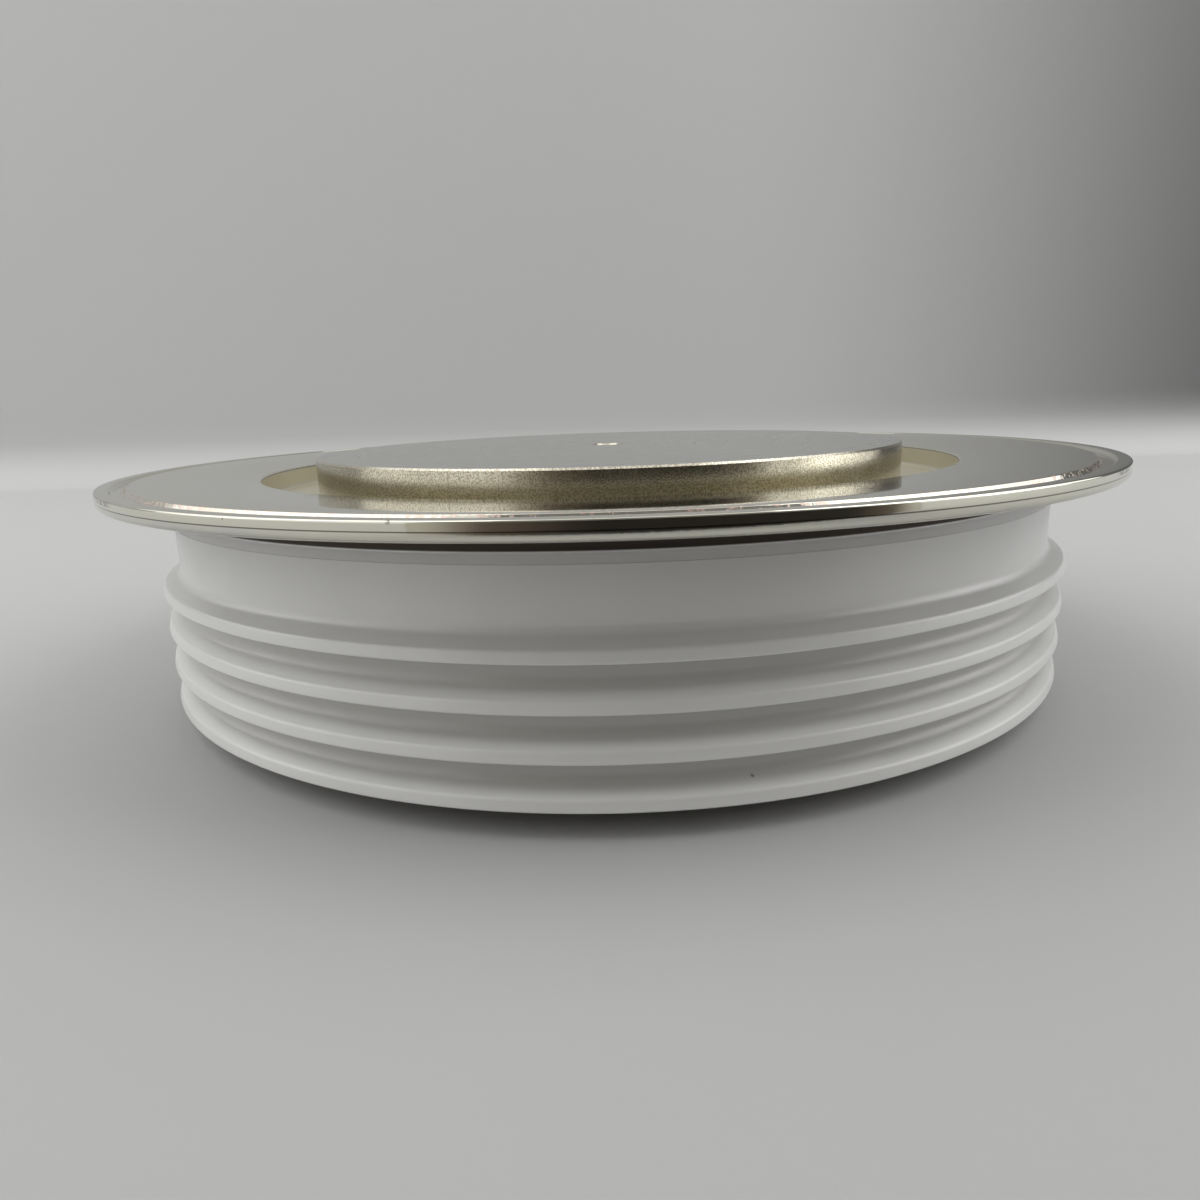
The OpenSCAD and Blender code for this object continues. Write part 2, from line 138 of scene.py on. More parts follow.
class CapsuleSizes(bpy.types.PropertyGroup):
    """Sizes of the capsule's visible pieces."""

    height: from_frame("Height", "Height over the contact faces", top("cathode_pole"))
    flange_radius: from_frame("Flange radius", "Radius of the lid's rim", reach("cathode_flange"))
    weld_z: from_frame("Weld height", "Height of the seam between the two sheets", top("weld_ring"))
    ceramic_top: from_frame("Ceramic top", "Height of the ceramic's top face", top("ceramic_ring"))
    ceramic_foot: from_frame("Ceramic foot", "Height of the ceramic's lower face", foot("ceramic_ring"))
    lid_foot: from_frame("Lid foot", "Height of the lid's underside at its groove", foot("cathode_flange"))
    sheet: length("Sheet", "Thickness of the flange sheets", 0.8)
    pole_radius: length("Pole radius", "Radius of the two contact poles", 36.5)
    pole_edge: length("Pole edge", "Width of the bevel round the poles' contact faces", 0.2)
    pole_bevel: length("Pole bevel", "Width of the same bevel on the solids", 0.4)
    braze_gap: length("Braze gap", "Gap between a pole and its sheet", 0.05)
    groove_width: length("Groove width", "Width of the groove round the upper pole", 6.15)
    dish_drop: length("Dish drop", "How far the lid dips from its rim to its groove", 0.6)
    groove_edge: length("Groove edge", "Rounding of the edge between the groove and the dish", 0.35)
    dish_margin: length("Dish margin", "Flat strip between the dish and the weld groove", 0.3)
    bend: length("Bend", "Inner radius of the bends in the sheets", 0.5)
    weld_inset: length("Weld inset", "Distance of the weld groove's middle from the rim's edge", 2.05)
    weld_width: length("Weld width", "Width of the groove that the weld's dies leave", 1.6)
    weld_depth: length("Weld depth", "Depth of the weld groove", 0.4)
    rim_edge: length("Rim edge", "Rounding of the rim's upper edge", 0.2)
    lower_edge: length("Lower edge", "Rounding of the lower sheet's outer edge", 0.5)
    joint_edge: length("Joint edge", "Rounding of the ceramic's edge at the collar's brazed joint", 0.04)
    braze_width: length("Braze width", "Width of the braze and glaze at the foot of the collar", 0.27)
    braze_height: length("Braze height", "Height of the braze and glaze on the collar", 0.8)
    collar_bend: length("Collar bend", "Radius of the bend from the collar to its rim", 1.4)
    collar_inset: length("Collar inset", "How far the collar stands back from the plain band", 0.3)
    collar_foot: length("Collar foot", "Width of the collar's foot on the ceramic", 4.0)
    band_radius: length("Band radius", "Radius of the ceramic's plain band", 51.95)
    ceramic_wall: length("Ceramic wall", "Thickness of the ceramic at the plain band", 6.45)
    shed_reach: length("Shed reach", "How far the sheds stand out from the plain band", 1.95)
    shed_pitch: length("Shed pitch", "Distance from shed to shed", 3.94)
    shed_base: length("Shed base", "Height of the lowest shed above the ceramic's foot", 0.4)
    shed_rim: length("Shed rim", "Height of a shed's rim", 1.05)
    shed_lean: length("Shed lean", "How far a shed's rim leans in at its top", 0.25)
    shed_rise: length("Shed rise", "Rise of a shed's top from its rim to the wall", 0.9)
    shed_undercut: length("Shed undercut", "Rise of a shed's underside to the wall", 0.25)
    shed_hollow: length("Shed hollow", "Radius of the hollow above each shed", 1.1)
    shed_rounding: length("Shed rounding", "Rounding of a shed rim's top edge", 0.45)
    ceramic_edge: length("Ceramic edge", "Rounding of the ceramic's other edges", 0.15)
    tube_radius: length("Tube radius", "Radius of the gate tube in the ceramic", 1.5)
    tube_seat: length("Tube seat", "Depth of the flat seat for the gate tube's collar", 0.1)
    shed_count: bpy.props.IntProperty(name="Sheds", description="Number of sheds", default=4, min=1)


class CapsuleFinish(bpy.types.PropertyGroup):
    """Colours of the capsule's surfaces."""

    alumina: colour("Alumina", "Fired ceramic under its glaze", (0.82, 0.82, 0.805))
    alumina_shade: colour("Alumina shade", "Slightly greyer patches of the ceramic", (0.785, 0.785, 0.767))
    # Painted shade: a darker ceramic colour painted into the hollows between the sheds, where the sheds
    # shade each other.
    alumina_groove_shade: colour("Groove alumina", "Painted shade on the ceramic between the sheds", (0.55, 0.545, 0.52))
    # Partly painted light: a glaze over the collar's foot, set lighter than the alumina to offset the shade
    # under the rim.
    glaze_and_painted_light: colour("Glaze", "Glaze drawn up over the collar's brazed foot", (0.92, 0.92, 0.905))
    speck: colour("Speck", "Small dark specks in the glaze", (0.09, 0.08, 0.07))
    nickel: colour("Nickel", "Bright plating of the sheets", (0.71, 0.695, 0.60))
    nickel_groove: colour("Groove nickel", "Duller plating in the lid's groove", (0.74, 0.70, 0.57))
    copper: colour("Copper", "Copper that shows where the plating is thin", (0.78, 0.50, 0.42))
    collar: colour("Collar", "Matt plating of the collar", (0.50, 0.50, 0.50))
    pole_face: colour("Pole face", "Lapped contact face", (0.61, 0.61, 0.59))
    pole_wall: colour("Pole wall", "Grained plating on the poles' sides", (0.72, 0.68, 0.565))
    pole_pit: colour("Pole pits", "Darker pits in the grain of the poles' sides", (0.24, 0.21, 0.15))
    # This dark colour serves for real dark marks and also as painted shade at the top of the collar under
    # the rim.
    tarnish_and_painted_shade: colour("Tarnish", "Dark marks on the plating", (0.06, 0.05, 0.042))
    silicon: colour("Silicon", "Polished wafer", (0.20, 0.21, 0.24))
    molybdenum: colour("Molybdenum", "Ground molybdenum", (0.48, 0.48, 0.50))
    silver: colour("Silver", "Soft silver foil", (0.86, 0.85, 0.82))
    gold: colour("Gold", "Gold plate on the gate contact", (0.85, 0.63, 0.27))
    steel: colour("Steel", "Drawn spring wire", (0.55, 0.55, 0.55))
    plastic: colour("Plastic", "White insulating plastic", (0.78, 0.77, 0.73))
    rubber: colour("Rubber", "Cast silicone rubber", (0.72, 0.72, 0.70))


class CapsuleStage(bpy.types.PropertyGroup):
    """Camera, light and backdrop."""

    lens: bpy.props.FloatProperty(
        name="Lens", description="Focal length on a 36 mm wide frame", default=24.85, min=1.0, unit="CAMERA"
    )
    distance: length("Camera distance", "Distance of the camera in front of the capsule's axis", 110.7)
    camera_z: length("Camera height", "Height of the camera above the floor", 33.03)
    pitch: tilt("Pitch", "How far the camera looks down", 13.76)
    roll: tilt("Roll", "How far the camera leans", -1.87)
    yaw: tilt("Yaw", "How far the camera turns aside", -0.84)
    wall_distance: length("Wall distance", "Distance of the backdrop behind the capsule's axis", 280.0)
    floor_colour: colour("Floor", "Plain pale floor", (0.53, 0.53, 0.53))
    wall_colour: colour("Wall", "Plain pale backdrop", (0.45, 0.45, 0.447))
    wall_shade: colour("Wall shade", "Backdrop towards its right side", (0.09, 0.09, 0.09))
    dome_colour: colour("Dome", "Soft light all round", (1.0, 1.0, 0.985))
    card_colour: colour("Card", "Dark card behind the camera, for the reflections", (0.02, 0.015, 0.01))
    card_edge_colour: colour("Card edge", "Both sides of the dark card", (0.20, 0.15, 0.12))
    card_end_colour: colour("Card ends", "Far ends of the dark card", (0.80, 0.77, 0.70))
    card_top_colour: colour("Card top", "Upper part of the dark card", (0.28, 0.275, 0.26))
    left_power: watts("Left power", "Power of the lamp at the left", 1.95)
    right_power: watts("Right power", "Power of the lamp at the right", 2.9)


def sizes():
    """The sizes in the open scene."""
    return bpy.context.scene.capsule_sizes


def finish():
    """The colours in the open scene."""
    return bpy.context.scene.capsule_finish


def stage():
    """The stage values in the open scene."""
    return bpy.context.scene.capsule_stage


# Shapes

def rounded(corners):
    """Points of a closed outline; each corner is (radius, height, rounding)."""
    points = []
    for index, (radius, height, rounding) in enumerate(corners):
        here = Vector((radius, height))
        if rounding == 0.0:
            points.append(here)
            continue
        before = (Vector(corners[index - 1][:2]) - here).normalized()
        after = (Vector(corners[(index + 1) % len(corners)][:2]) - here).normalized()
        half = before.angle(after) / 2
        centre = here + (before + after).normalized() * rounding / math.sin(half)
        first = here + before * rounding / math.tan(half) - centre
        last = here + after * rounding / math.tan(half) - centre
        start = math.atan2(first.y, first.x)
        sweep = math.remainder(math.atan2(last.y, last.x) - start, math.tau)
        for step in range(ARC_STEPS + 1):
            angle = start + sweep * step / ARC_STEPS
            points.append(centre + rounding * Vector((math.cos(angle), math.sin(angle))))
    return points


def turned(name, outline):
    """A closed outline of (radius, height) points turned round the capsule's axis."""
    bm = bmesh.new()
    angles = [math.tau * step / LID_SEGMENTS for step in range(LID_SEGMENTS)]
    rings = [
        [bm.verts.new((point.x * math.cos(angle), point.x * math.sin(angle), point.y)) for angle in angles]
        for point in outline
    ]
    for ring, following in zip(rings, rings[1:] + rings[:1]):
        for step in range(LID_SEGMENTS):
            after = (step + 1) % LID_SEGMENTS
            bm.faces.new((ring[step], ring[after], following[after], following[step]))
    bmesh.ops.recalc_face_normals(bm, faces=bm.faces)
    return piece_from(bm, name)


def smooth_copy(name, node):
    """A copy of a solid with its triangles joined and its round faces smooth."""
    bm = bmesh.new()
    bm.from_mesh(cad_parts[node].data)
    bmesh.ops.remove_doubles(bm, verts=bm.verts, dist=MERGE)
    return piece_from(bm, name)


def piece_from(bm, name):
    """A smooth-shaded object at the origin, made from a bmesh."""
    mesh = bpy.data.meshes.new(name)
    bm.to_mesh(mesh)
    bm.free()
    if "custom_normal" in mesh.attributes:
        mesh.attributes.remove(mesh.attributes["custom_normal"])
    mesh.materials.clear()
    smooth(mesh)
    return place(bpy.data.objects.new(name, mesh))


def smooth(mesh):
    """Smooth shading that keeps creases sharp."""
    mesh.shade_smooth()
    mesh.set_sharp_from_angle(angle=CREASE)


def place(obj):
    """Put an object in the open scene."""
    bpy.context.scene.collection.objects.link(obj)
    return obj


def dress(piece, node):
    """Let a piece stand for a solid and ride with it."""
    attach(piece, BODY)
    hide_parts(node)


# Node trees

class Graph:
    """A node tree with short ways to add the nodes that the finishes use."""

    def __init__(self, tree):
        self.tree = tree

    def feed(self, socket, value):
        """Link a socket to its source, or set it where the source is a plain value or colour."""
        if isinstance(value, bpy.types.NodeSocket):
            self.tree.links.new(value, socket)
        elif socket.type == "RGBA":
            socket.default_value = (*value, 1.0)
        else:
            socket.default_value = value

    def add(self, kind, inputs=None, **settings):
        """Add a node, with its settings and its inputs by name or number."""
        made = self.tree.nodes.new(kind)
        for key, value in settings.items():
            setattr(made, key, value)
        for key, value in (inputs or {}).items():
            self.feed(made.inputs[key], value)
        return made

    def math(self, operation, *values):
        """One step of arithmetic."""
        return self.add("ShaderNodeMath", dict(enumerate(values)), operation=operation).outputs[0]

    def times(self, first, second):
        """Product of two values."""
        return self.math("MULTIPLY", first, second)

    def plus(self, first, second):
        """Sum of two values."""
        return self.math("ADD", first, second)

    def minus(self, first, second):
        """First value less the second."""
        return self.math("SUBTRACT", first, second)

    def vector(self, operation, *values):
        """One step of vector arithmetic."""
        made = self.add("ShaderNodeVectorMath", dict(enumerate(values)), operation=operation)
        return made.outputs["Value" if operation in ("LENGTH", "DISTANCE", "DOT_PRODUCT") else "Vector"]

    def noise(self, vector, scale, detail=2.0):
        """Noise from 0 to 1."""
        inputs = {"Vector": vector, "Scale": scale, "Detail": detail}
        return self.add("ShaderNodeTexNoise", inputs).outputs[0]

    def between(self, value, low, high, to_low=0.0, to_high=1.0):
        """Smooth change from to_low at low to to_high at high."""
        inputs = {0: value, 1: low, 2: high, 3: to_low, 4: to_high}
        return self.add("ShaderNodeMapRange", inputs, interpolation_type="SMOOTHSTEP").outputs[0]

    def blend(self, factor, first, second):
        """Mix of two colours."""
        inputs = {0: factor, 6: first, 7: second}
        return self.add("ShaderNodeMix", inputs, data_type="RGBA").outputs[2]

    def mix(self, factor, first, second):
        """Mix of two values."""
        inputs = {0: factor, 2: first, 3: second}
        return self.add("ShaderNodeMix", inputs, data_type="FLOAT").outputs[0]

    def group(self, name, inputs):
        """Place a shared effect with its own values; its first use builds it."""
        tree = bpy.data.node_groups.get(name) or SHARED_EFFECTS[name]()
        return self.add("ShaderNodeGroup", inputs, node_tree=tree).outputs

    def streaks(self, position, lines, length):
        """Fine lines that run round a turned piece, from 0 to 1."""
        inputs = {"Position": position, "Lines per metre": lines, "Length": length}
        return self.group("Turning streaks", inputs)["Streak"]

    def grain(self, position, grains):
        """Height and tone of plated or blasted metal."""
        return self.group("Plating grain", {"Position": position, "Grains per metre": grains})

    def bump(self, height, strength, distance):
        """Normal that follows a height."""
        inputs = {"Height": height, "Strength": strength, "Distance": distance}
        return self.add("ShaderNodeBump", inputs).outputs[0]

    def position(self):
        """Place on the piece, in metres."""
        return self.add("ShaderNodeTexCoord").outputs["Object"]


def effect(name, inputs, outputs):
    """An empty shared effect with its sockets, and the nodes of its two ends."""
    tree = bpy.data.node_groups.new(name, "ShaderNodeTree")
    for socket_name, kind, default in inputs:
        socket = tree.interface.new_socket(socket_name, in_out="INPUT", socket_type=kind)
        if default is not None:
            socket.default_value = default
    for socket_name, kind in outputs:
        tree.interface.new_socket(socket_name, in_out="OUTPUT", socket_type=kind)
    graph = Graph(tree)
    return graph, graph.add("NodeGroupInput").outputs, graph.add("NodeGroupOutput").inputs


def ring_place():
    """Radius and height on a turned piece, and a vector that runs round it."""
    graph, given, out = effect(
        "Ring place",
        [("Position", "NodeSocketVector", None)],
        [("Radius", "NodeSocketFloat"), ("Height", "NodeSocketFloat"), ("Around", "NodeSocketVector")],
    )
    flat = graph.vector("MULTIPLY", given["Position"], (1.0, 1.0, 0.0))
    apart = graph.add("ShaderNodeSeparateXYZ", {0: given["Position"]}).outputs
    graph.feed(out["Radius"], graph.vector("LENGTH", flat))
    graph.feed(out["Height"], apart["Z"])
    graph.feed(out["Around"], graph.vector("NORMALIZE", flat))
    return graph.tree


def turning_streaks():
    """Fine lines that run round a turned piece, from 0 to 1."""
    graph, given, out = effect(
        "Turning streaks",
        [
            ("Position", "NodeSocketVector", None),
            ("Lines per metre", "NodeSocketFloat", 4000.0),
            ("Length", "NodeSocketFloat", 3.0),
        ],
        [("Streak", "NodeSocketFloat")],
    )
    place_on = graph.group("Ring place", {"Position": given["Position"]})
    run = graph.vector("SCALE", place_on["Around"])
    graph.feed(run.node.inputs["Scale"], given["Length"])
    across = graph.plus(place_on["Radius"], place_on["Height"])
    across = graph.times(across, given["Lines per metre"])
    along = graph.add("ShaderNodeCombineXYZ", {"Z": across}).outputs[0]
    graph.feed(out["Streak"], graph.noise(graph.vector("ADD", run, along), 1.0, 3.0))
    return graph.tree


def plating_grain():
    """Grain of plated or blasted metal: a height and a tone, both about 0.5."""
    graph, given, out = effect(
        "Plating grain",
        [("Position", "NodeSocketVector", None), ("Grains per metre", "NodeSocketFloat", 4000.0)],
        [("Height", "NodeSocketFloat"), ("Tone", "NodeSocketFloat")],
    )
    fine = graph.noise(given["Position"], given["Grains per metre"])
    broad_scale = graph.times(given["Grains per metre"], 0.04)
    graph.feed(out["Height"], fine)
    graph.feed(out["Tone"], graph.noise(given["Position"], broad_scale, 4.0))
    return graph.tree


def stray_specks():
    """Mask of small scattered marks."""
    graph, given, out = effect(
        "Stray specks",
        [
            ("Position", "NodeSocketVector", None),
            ("Specks per metre", "NodeSocketFloat", 300.0),
            ("Size", "NodeSocketFloat", 0.06),
        ],
        [("Mask", "NodeSocketFloat")],
    )
    inputs = {"Vector": given["Position"], "Scale": given["Specks per metre"]}
    cells = graph.add("ShaderNodeTexVoronoi", inputs).outputs
    ragged = graph.noise(given["Position"], 9000.0)
    away = graph.plus(cells["Distance"], graph.times(ragged, 0.05))
    near = graph.math("LESS_THAN", away, given["Size"])
    draw = graph.add("ShaderNodeSeparateColor", {0: cells["Color"]}).outputs[0]
    lone = graph.math("GREATER_THAN", draw, 0.7)
    graph.feed(out["Mask"], graph.times(near, lone))
    return graph.tree


SHARED_EFFECTS = {
    "Ring place": ring_place,
    "Turning streaks": turning_streaks,
    "Plating grain": plating_grain,
    "Stray specks": stray_specks,
}


# Materials

def surface(name, metallic=0.0, **plain):
    """A new material with its graph and its Principled shader; plain values go straight on its sockets."""
    material = bpy.data.materials.new(name)
    material.use_nodes = True
    material.node_tree.nodes.clear()
    graph = Graph(material.node_tree)
    shader = graph.add("ShaderNodeBsdfPrincipled", {"Metallic": metallic})
    for key, value in plain.items():
        shader.inputs[key.replace("_", " ").title().replace("Ior", "IOR")].default_value = value
    output = graph.add("ShaderNodeOutputMaterial")
    graph.feed(output.inputs["Surface"], shader.outputs[0])
    return material, graph, shader.inputs


def spot(graph, position, centre, radius):
    """Mask of one ragged mark at a point on the piece."""
    away = graph.vector("DISTANCE", position, tuple(centre))
    ragged = graph.times(graph.noise(position, 4000.0), radius)
    return graph.between(graph.plus(away, ragged), radius * 1.4, radius * 0.9)


def on_ring(radius, degrees, height):
    """A point on a turned piece."""
    angle = math.radians(degrees)
    return Vector((radius * math.cos(angle), radius * math.sin(angle), height))


def on_seam(graph, height):
    """Mask of the dark line where the lid and the weld ring meet at the rim."""
    away = graph.math("ABSOLUTE", graph.minus(height, sizes().weld_z))
    return graph.between(away, *SEAM_LINE, 0.0, 0.8)


def glazed_alumina():
    """White fired ceramic: a thin glaze, faint cloudy patches, a lone dark speck and painted shade between
    the sheds.
    """
    size = sizes()
    paint = finish()
    material, graph, socket = surface("Glazed alumina", coat_weight=0.25, coat_roughness=0.18, ior=1.6)
    position = graph.position()
    cloud = graph.noise(position, 55.0, 4.0)
    tone = graph.blend(graph.between(cloud, 0.35, 0.7), paint.alumina, paint.alumina_shade)
    place_on = graph.group("Ring place", {"Position": position})
    # Painted shade: below the top shed's rim, the hollows between the sheds are painted darker the further
    # they lie in from the shed rims.
    shed_radius = size.band_radius + size.shed_reach
    sunken = graph.between(place_on["Radius"], shed_radius - 0.3 * MM, size.band_radius - 0.2 * MM)
    sheds_top = size.ceramic_foot + size.shed_base + (size.shed_count - 1) * size.shed_pitch + size.shed_rim
    among = graph.between(place_on["Height"], sheds_top + 0.4 * MM, sheds_top - 0.4 * MM)
    tone = graph.blend(graph.times(sunken, among), tone, paint.alumina_groove_shade)
    specks = graph.group("Stray specks", {"Position": position, "Specks per metre": 120.0, "Size": 0.035})
    tone = graph.blend(graph.times(specks["Mask"], 0.35), tone, paint.speck)
    lone = on_ring(size.band_radius + 0.55 * MM, -78.4, size.ceramic_foot + 2.2 * MM)
    lone_mask = graph.times(spot(graph, position, lone, 0.28 * MM), 0.7)
    tone = graph.blend(lone_mask, tone, paint.speck)
    graph.feed(socket["Base Color"], tone)
    graph.feed(socket["Roughness"], graph.between(graph.noise(position, 240.0, 3.0), 0.3, 0.7, 0.3, 0.42))
    peel = graph.noise(position, 900.0)
    graph.feed(socket["Normal"], graph.bump(peel, 0.15, 0.02 * MM))
    return material


# Dark marks on the lid: angle in degrees, then distance from the rim, drop and radius in millimetres
LID_MARKS = (
    (-104.4, 0.2, 0.16, 0.3),
    (-123.4, 0.2, 0.3, 0.2),
    (-121.6, 0.2, 0.3, 0.15),
    (-47.2, 7.15, 0.0, 0.16),
    (-128.0, 9.0, 0.1, 0.12),
)

# Dents along the rim's edge: angle of the middle and half the length, both in degrees
RIM_DENTS = (
    (-142.5, 6.5),
    (-39.5, 3.5),
)


def rim_dent(graph, place_on, ragged, degrees, half_length):
    """Mask of a ragged dark dent along the rim's upper edge."""
    size = sizes()
    middle = on_ring(1.0, degrees, 0.0)
    facing = graph.vector("DOT_PRODUCT", place_on["Around"], tuple(middle))
    end = math.radians(half_length)
    along = graph.between(facing, math.cos(end), math.cos(end / 3))
    below = graph.minus(place_on["Height"], size.weld_z + size.sheet * 0.6)
    across = graph.between(graph.math("ABSOLUTE", below), 0.3 * MM, 0.12 * MM)
    outer = graph.between(place_on["Radius"], size.flange_radius - 0.6 * MM, size.flange_radius - 0.2 * MM)
    patch = graph.times(graph.times(along, across), outer)
    return graph.times(patch, graph.between(ragged, 0.4, 0.52, 0.15, 0.95))


def lid_nickel():
    """Bright plating of the lid: a mirror on the dish, copper at the weld, duller in the groove."""
    size = sizes()
    paint = finish()
    material, graph, socket = surface("Lid nickel", metallic=1.0)
    position = graph.position()
    place_on = graph.group("Ring place", {"Position": position})
    radius = place_on["Radius"]
    groove_edge = size.pole_radius + size.groove_width
    weld_edge = size.flange_radius - size.weld_inset - size.weld_width * 0.42
    in_groove = graph.between(radius, groove_edge + 0.5 * MM, groove_edge - 0.3 * MM)
    off_weld = graph.math("ABSOLUTE", graph.minus(radius, weld_edge))
    on_weld = graph.between(off_weld, size.weld_width * 0.3, size.weld_width * 0.12)
    streak = graph.streaks(position, 5000.0, 4.0)
    crinkle = graph.noise(position, 2200.0)
    worn = graph.times(on_weld, graph.between(crinkle, 0.45, 0.62))
    tone = graph.blend(in_groove, paint.nickel, paint.nickel_groove)
    tone = graph.blend(graph.times(worn, 0.45), tone, paint.copper)
    specks = graph.group("Stray specks", {"Position": position, "Specks per metre": 220.0, "Size": 0.05})
    tone = graph.blend(graph.times(specks["Mask"], 0.6), tone, paint.tarnish_and_painted_shade)
    for degrees, inset, drop, spot_radius in LID_MARKS:
        mark = on_ring(size.flange_radius - inset * MM, degrees, size.weld_z + size.sheet - drop * MM)
        tone = graph.blend(spot(graph, position, mark, spot_radius * MM), tone, paint.tarnish_and_painted_shade)
    ragged = graph.noise(position, 1800.0)
    for degrees, half_length in RIM_DENTS:
        dent = rim_dent(graph, place_on, ragged, degrees, half_length)
        tone = graph.blend(dent, tone, paint.tarnish_and_painted_shade)
    tone = graph.blend(on_seam(graph, place_on["Height"]), tone, paint.tarnish_and_painted_shade)
    graph.feed(socket["Base Color"], tone)
    rough = graph.between(streak, 0.3, 0.75, 0.03, 0.08)
    rough = graph.mix(in_groove, rough, 0.45)
    graph.feed(socket["Roughness"], graph.mix(worn, rough, 0.28))
    wave = graph.noise(position, 45.0, 1.0)
    height = graph.times(wave, 0.1)
    height = graph.plus(height, graph.times(streak, 0.004))
    crinkled = graph.times(on_weld, crinkle)
    height = graph.plus(height, graph.times(crinkled, 0.035))
    graph.feed(socket["Normal"], graph.bump(height, 0.5, 0.3 * MM))
    return material


def ring_nickel():
    """Plating of the weld ring: bright at the rim, matt on the collar, with glaze painted lighter over its
    brazed foot and painted shade at the collar's top under the rim.
    """
    size = sizes()
    paint = finish()
    material, graph, socket = surface("Ring nickel", metallic=1.0)
    position = graph.position()
    place_on = graph.group("Ring place", {"Position": position})
    collar = size.band_radius - size.collar_inset
    on_collar = graph.between(place_on["Radius"], collar + 1.2 * MM, collar + 0.2 * MM)
    streak = graph.streaks(position, 4000.0, 5.0)
    grain = graph.grain(position, 2500.0)
    under = size.weld_z - size.sheet
    # Painted shade: the top of the collar, just under the rim's overhang, is painted dark with the tarnish
    # colour.
    corner = graph.between(place_on["Height"], under - 1.9 * MM, under - 1.7 * MM)
    inner = graph.between(place_on["Radius"], size.flange_radius - 1.0 * MM, size.flange_radius - 2.0 * MM)
    in_shade = graph.times(corner, inner)
    tone = graph.blend(graph.between(grain["Tone"], 0.3, 1.0), paint.nickel, paint.pole_face)
    tone = graph.blend(on_collar, tone, paint.collar)
    tone = graph.blend(in_shade, tone, paint.tarnish_and_painted_shade)
    # The glaze over the collar's foot is painted lighter than the ceramic, as painted light against the
    # rim's shade.
    glazed = graph.times(on_collar, graph.minus(1.0, corner))
    tone = graph.blend(glazed, tone, paint.glaze_and_painted_light)
    tone = graph.blend(on_seam(graph, place_on["Height"]), tone, paint.tarnish_and_painted_shade)
    graph.feed(socket["Base Color"], tone)
    graph.feed(socket["Metallic"], graph.minus(1.0, glazed))
    rough = graph.between(streak, 0.3, 0.75, 0.05, 0.12)
    graph.feed(socket["Roughness"], graph.mix(on_collar, rough, 0.5))
    height = graph.plus(graph.times(streak, 0.3), grain["Height"])
    graph.feed(socket["Normal"], graph.bump(height, 0.06, 0.03 * MM))
    return material


def sheet_nickel():
    """Satin plating of the lower sheet and the gate tube."""
    paint = finish()
    material, graph, socket = surface("Sheet nickel", metallic=1.0)
    position = graph.position()
    streak = graph.streaks(position, 4000.0, 5.0)
    grain = graph.grain(position, 2500.0)
    tone = graph.blend(graph.between(grain["Tone"], 0.3, 1.0), paint.nickel, paint.pole_face)
    graph.feed(socket["Base Color"], tone)
    graph.feed(socket["Roughness"], graph.between(streak, 0.3, 0.75, 0.1, 0.2))
    graph.feed(socket["Normal"], graph.bump(grain["Height"], 0.06, 0.03 * MM))
    return material


def lapped_face():
    """Contact face of a pole: lapped flat, with the faintest turning lines."""
    paint = finish()
    material, graph, socket = surface("Lapped face", metallic=1.0)
    position = graph.position()
    streak = graph.streaks(position, 2500.0, 2.0)
    grain = graph.grain(position, 9000.0)
    patch = graph.between(grain["Tone"], 0.3, 0.8, 0.0, 0.2)
    graph.feed(socket["Base Color"], graph.blend(patch, paint.pole_face, paint.nickel))
    graph.feed(socket["Roughness"], graph.between(streak, 0.25, 0.75, 0.22, 0.28))
    height = graph.plus(graph.times(streak, 0.5), grain["Height"])
    graph.feed(socket["Normal"], graph.bump(height, 0.02, 0.015 * MM))
    return material


def grained_wall():
    """Side of a pole: warm grained plating."""
    paint = finish()
    material, graph, socket = surface("Grained wall", metallic=1.0)
    position = graph.position()
    grain = graph.grain(position, 6200.0)
    pit = graph.between(grain["Height"], 0.56, 0.42, 0.0, 0.6)
    graph.feed(socket["Base Color"], graph.blend(pit, paint.pole_wall, paint.pole_pit))
    graph.feed(socket["Roughness"], graph.between(grain["Tone"], 0.3, 0.7, 0.17, 0.22))
    graph.feed(socket["Normal"], graph.bump(grain["Height"], 0.35, 0.02 * MM))
    return material


def worked_metal(name, tone_of, roughness, lines):
    """Inner metal with lines from its making and a slightly uneven tone."""
    material, graph, socket = surface(name, metallic=1.0)
    position = graph.position()
    streak = graph.streaks(position, lines, 2.0)
    grain = graph.grain(position, 3000.0)
    darker = [0.8 * part for part in tone_of]
    tone = graph.blend(graph.between(grain["Tone"], 0.35, 0.75), tone_of, darker)
    graph.feed(socket["Base Color"], tone)
    graph.feed(socket["Roughness"], graph.between(streak, 0.25, 0.75, roughness, roughness + 0.12))
    graph.feed(socket["Normal"], graph.bump(streak, 0.08, 0.03 * MM))
    return material


def moulded(name, tone_of, roughness, clouds):
    """Inner plastic or rubber with faint clouds and a fine skin."""
    material, graph, socket = surface(name)
    position = graph.position()
    darker = [0.9 * part for part in tone_of]
    tone = graph.blend(graph.between(graph.noise(position, clouds, 3.0), 0.35, 0.7), tone_of, darker)
    graph.feed(socket["Base Color"], tone)
    skin = graph.noise(position, 5000.0)
    graph.feed(socket["Roughness"], graph.between(skin, 0.3, 0.7, roughness, roughness + 0.1))
    graph.feed(socket["Normal"], graph.bump(skin, 0.1, 0.03 * MM))
    return material


# Ceramic ring as a rule: a plain band and equal sheds, turned round the axis

